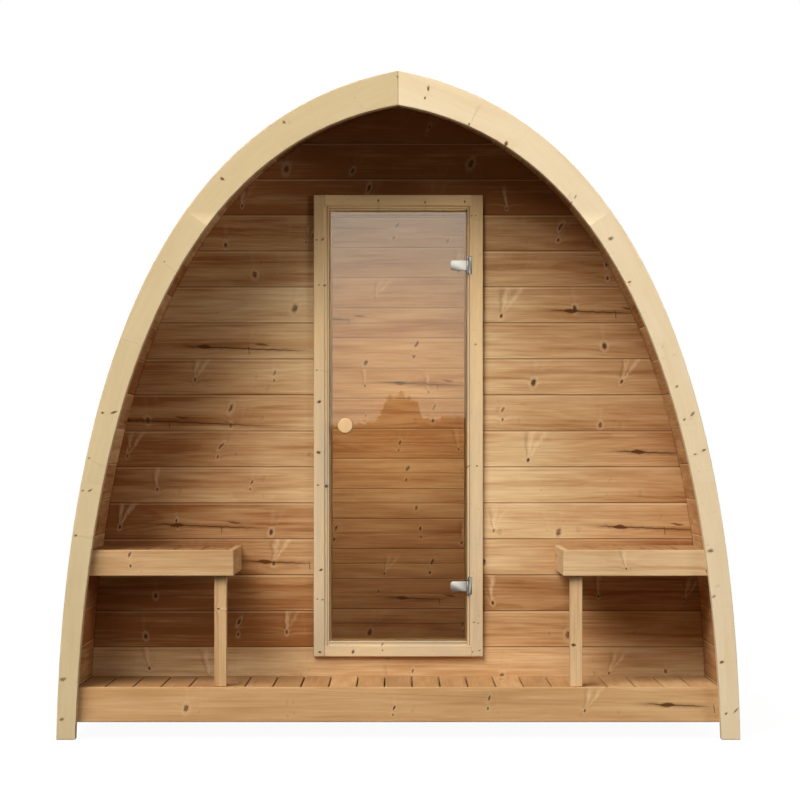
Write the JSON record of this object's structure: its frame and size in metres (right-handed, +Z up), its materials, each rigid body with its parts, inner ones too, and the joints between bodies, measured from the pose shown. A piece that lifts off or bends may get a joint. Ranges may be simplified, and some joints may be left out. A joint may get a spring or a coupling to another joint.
{
  "type": "arched garden sauna cabin",
  "caption": "Pointed-arch sauna cabin of long boards between two timber arches, with a glass door, an open porch, a slatted deck and side benches.",
  "frame": {"origin": "middle of the rectangle that the arch feet enclose, on the ground", "axes": "+X to the right seen from the front, +Y from the porch to the rear wall, +Z up"},
  "size_m": [2.43, 2.4, 2.377],
  "materials": {
    "arch_spruce": "planed pale spruce with small knots, matt",
    "shell_boards": "heat-treated softwood boards, matt, with dark joints",
    "wall_boards": "heat-treated softwood boards laid level, matt, with knots and checks",
    "deck_wood": "planed heat-treated decking, matt",
    "bench_wood": "planed heat-treated slats and rails, matt",
    "frame_pine": "clear-oiled pine, satin",
    "tinted_glass": "bronze tinted toughened glass, polished",
    "satin_steel": "satin chromed",
    "knob_wood": "turned and sanded, matt"
  },
  "bodies": {
    "cabin": {"front_arch_left": "arch_spruce", "front_arch_right": "arch_spruce", "rear_arch_left": "arch_spruce", "rear_arch_right": "arch_spruce", "shell_left_1": "shell_boards", "shell_left_2": "shell_boards", "shell_left_3": "shell_boards", "shell_left_4": "shell_boards", "shell_left_5": "shell_boards", "shell_right_1": "shell_boards", "shell_right_2": "shell_boards", "shell_right_3": "shell_boards", "shell_right_4": "shell_boards", "shell_right_5": "shell_boards", "front_skirt": "deck_wood", "rear_skirt": "wall_boards", "side_bearer_left": "deck_wood", "side_bearer_right": "deck_wood", "floor_joists": "deck_wood", "porch_floor": "deck_wood", "room_floor": "deck_wood", "front_wall_left": "wall_boards", "front_wall_right": "wall_boards", "front_wall_over_door": "wall_boards", "front_wall_under_door": "wall_boards", "rear_wall": "wall_boards", "door_jamb_left": "frame_pine", "door_jamb_right": "frame_pine", "door_head": "frame_pine", "door_threshold": "frame_pine", "hinge_brackets": "satin_steel", "bench_seat_left": "bench_wood", "bench_fascia_left": "bench_wood", "bench_apron_left": "bench_wood", "bench_bearers_left": "bench_wood", "bench_post_left": "bench_wood", "bench_seat_right": "bench_wood", "bench_fascia_right": "bench_wood", "bench_apron_right": "bench_wood", "bench_bearers_right": "bench_wood", "bench_post_right": "bench_wood"},
    "door": {"door_glass": "tinted_glass", "hinge_clamps": "satin_steel", "door_knobs": "knob_wood"}
  },
  "joints": [
    {"name": "door_hinge", "type": "hinge", "parent": "cabin", "child": "door", "pos_m": [0.26, -0.723, 1.12], "axis": [0, 0, 1], "range_deg": [0, 110]}
  ]
}
